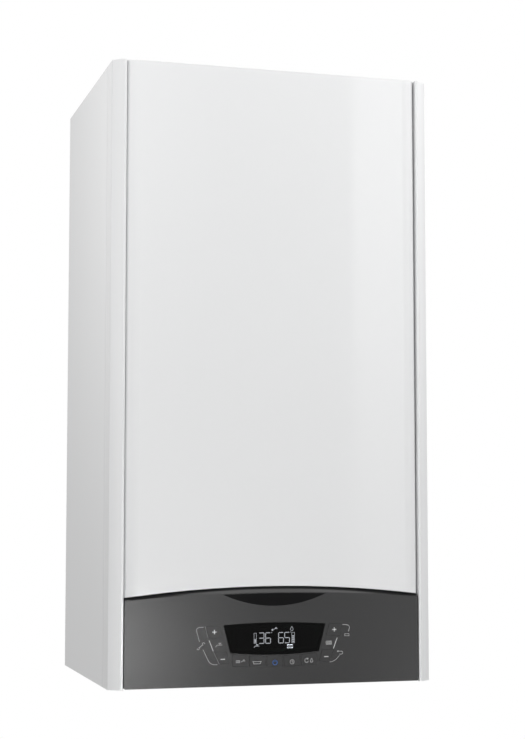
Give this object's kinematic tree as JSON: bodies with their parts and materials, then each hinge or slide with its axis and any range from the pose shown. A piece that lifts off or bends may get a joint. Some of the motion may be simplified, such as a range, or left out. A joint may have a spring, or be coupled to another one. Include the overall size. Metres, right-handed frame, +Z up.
{
  "type": "combi boiler",
  "caption": "Wall-hung condensing combi boiler: white casing with a pull-off front, and a grey control panel with display and keys that tilts down.",
  "frame": {"origin": "on the wall plane, midway between the two bolt holes of the wall bracket", "axes": "+X to the right seen from the front, +Y into the wall, +Z up"},
  "size_m": [0.4, 0.319, 0.781],
  "materials": {
    "white_enamel": "smooth gloss stove enamel",
    "white_plastic": "moulded, satin gloss",
    "chassis_steel": "galvanised sheet",
    "zinc_steel": "bright zinc plate",
    "stainless_steel": "bare stainless",
    "red_enamel": "satin enamel",
    "motor_enamel": "satin enamel",
    "grey_plastic": "moulded",
    "black_plastic": "moulded",
    "box_plastic": "moulded",
    "graphite_plastic": "satin metallic graphite",
    "gloss_black": "polished",
    "window_glass": "tinted window",
    "board_laminate": "printed circuit laminate",
    "key_plastic": "satin metallic graphite",
    "red_plastic": "moulded",
    "blue_plastic": "moulded",
    "cast_aluminium": "as cast",
    "copper_pipe": "drawn copper",
    "group_brass": "hot-pressed brass",
    "black_rubber": "extruded seal",
    "pad_foam": "foam with foil face",
    "ceramic_white": "glazed ceramic"
  },
  "bodies": {
    "casing": {"back_panel": "chassis_steel", "wall_bracket": "zinc_steel", "side_panel_left": "white_enamel", "side_panel_right": "white_enamel", "top_panel": "white_enamel", "bottom_plate": "chassis_steel", "chamber_sill": "chassis_steel", "fixings": "zinc_steel", "hinge_arms": "zinc_steel", "flue_collar": "grey_plastic", "flue_duct": "white_plastic", "expansion_vessel": "red_enamel", "exchanger_bracket": "chassis_steel", "exchanger_shell": "grey_plastic", "exchanger_coil": "stainless_steel", "burner": "stainless_steel", "burner_door": "cast_aluminium", "electrodes": "ceramic_white", "fan_housing": "cast_aluminium", "fan_motor": "black_plastic", "mixer_venturi": "cast_aluminium", "air_silencer": "black_plastic", "gas_valve": "cast_aluminium", "gas_pipe": "copper_pipe", "condensate_trap": "white_plastic", "flow_pipe": "copper_pipe", "return_pipe": "copper_pipe", "water_tails": "copper_pipe", "flow_group": "group_brass", "return_group": "group_brass", "plate_exchanger": "stainless_steel", "pump_body": "group_brass", "pump_motor": "motor_enamel", "diverter_motor": "black_plastic"},
    "front_cover": {"front_panel": "white_enamel", "pilaster_left": "white_plastic", "pilaster_right": "white_plastic", "cover_gasket": "black_rubber", "insulation_pad": "pad_foam", "cover_clips": "zinc_steel"},
    "control_panel": {"fascia": "graphite_plastic", "badge_inlay": "gloss_black", "display_window": "window_glass", "key_board": "board_laminate", "control_box": "box_plastic", "main_board": "board_laminate"},
    "fan_impeller": {"fan_impeller": "black_plastic"},
    "pump_rotor": {"pump_rotor": "stainless_steel"},
    "diverter_stem": {"diverter_stem": "group_brass"},
    "relief_valve_knob": {"relief_valve_knob": "red_plastic"},
    "filling_tap_handle": {"filling_tap_handle": "blue_plastic"},
    "key_hot_water_plus": {"key_hot_water_plus": "key_plastic"},
    "key_hot_water_minus": {"key_hot_water_minus": "key_plastic"},
    "key_heating_plus": {"key_heating_plus": "key_plastic"},
    "key_heating_minus": {"key_heating_minus": "key_plastic"},
    "key_mode": {"key_mode": "key_plastic"},
    "key_comfort": {"key_comfort": "key_plastic"},
    "key_power": {"key_power": "key_plastic"},
    "key_auto": {"key_auto": "key_plastic"},
    "key_reset": {"key_reset": "key_plastic"}
  },
  "joints": [
    {"name": "cover_pull", "type": "slide", "parent": "casing", "child": "front_cover", "axis": [0, -1, 0], "range_m": [0, 0.3]},
    {"name": "panel_tilt", "type": "hinge", "parent": "casing", "child": "control_panel", "pos_m": [0, -0.296, -0.672], "axis": [1, 0, 0], "range_deg": [0, 88]},
    {"name": "fan_spin", "type": "hinge", "parent": "casing", "child": "fan_impeller", "pos_m": [0.104, -0.222, -0.365], "axis": [0, 1, 0], "continuous": true},
    {"name": "pump_spin", "type": "hinge", "parent": "casing", "child": "pump_rotor", "pos_m": [0.14, -0.12, -0.524], "axis": [0, 1, 0], "continuous": true},
    {"name": "diverter_lift", "type": "slide", "parent": "casing", "child": "diverter_stem", "axis": [0, 0, 1], "range_m": [0, 0.005]},
    {"name": "relief_turn", "type": "hinge", "parent": "casing", "child": "relief_valve_knob", "pos_m": [-0.114, -0.108, -0.61], "axis": [0, 1, 0], "range_deg": [0, 90]},
    {"name": "tap_turn", "type": "hinge", "parent": "casing", "child": "filling_tap_handle", "pos_m": [0.0975, -0.078, -0.652], "axis": [0, 1, 0], "range_deg": [0, 90]},
    {"name": "key_hot_water_plus_press", "type": "slide", "parent": "control_panel", "child": "key_hot_water_plus", "axis": [0, 1, 0], "range_m": [0, 0.0008], "stiffness_N_per_m": 1500, "springref_m": -0.0004},
    {"name": "key_hot_water_minus_press", "type": "slide", "parent": "control_panel", "child": "key_hot_water_minus", "axis": [0, 1, 0], "range_m": [0, 0.0008], "stiffness_N_per_m": 1500, "springref_m": -0.0004},
    {"name": "key_heating_plus_press", "type": "slide", "parent": "control_panel", "child": "key_heating_plus", "axis": [0, 1, 0], "range_m": [0, 0.0008], "stiffness_N_per_m": 1500, "springref_m": -0.0004},
    {"name": "key_heating_minus_press", "type": "slide", "parent": "control_panel", "child": "key_heating_minus", "axis": [0, 1, 0], "range_m": [0, 0.0008], "stiffness_N_per_m": 1500, "springref_m": -0.0004},
    {"name": "key_mode_press", "type": "slide", "parent": "control_panel", "child": "key_mode", "axis": [0, 1, 0], "range_m": [0, 0.0008], "stiffness_N_per_m": 1500, "springref_m": -0.0004},
    {"name": "key_comfort_press", "type": "slide", "parent": "control_panel", "child": "key_comfort", "axis": [0, 1, 0], "range_m": [0, 0.0008], "stiffness_N_per_m": 1500, "springref_m": -0.0004},
    {"name": "key_power_press", "type": "slide", "parent": "control_panel", "child": "key_power", "axis": [0, 1, 0], "range_m": [0, 0.0008], "stiffness_N_per_m": 1500, "springref_m": -0.0004},
    {"name": "key_auto_press", "type": "slide", "parent": "control_panel", "child": "key_auto", "axis": [0, 1, 0], "range_m": [0, 0.0008], "stiffness_N_per_m": 1500, "springref_m": -0.0004},
    {"name": "key_reset_press", "type": "slide", "parent": "control_panel", "child": "key_reset", "axis": [0, 1, 0], "range_m": [0, 0.0008], "stiffness_N_per_m": 1500, "springref_m": -0.0004}
  ]
}
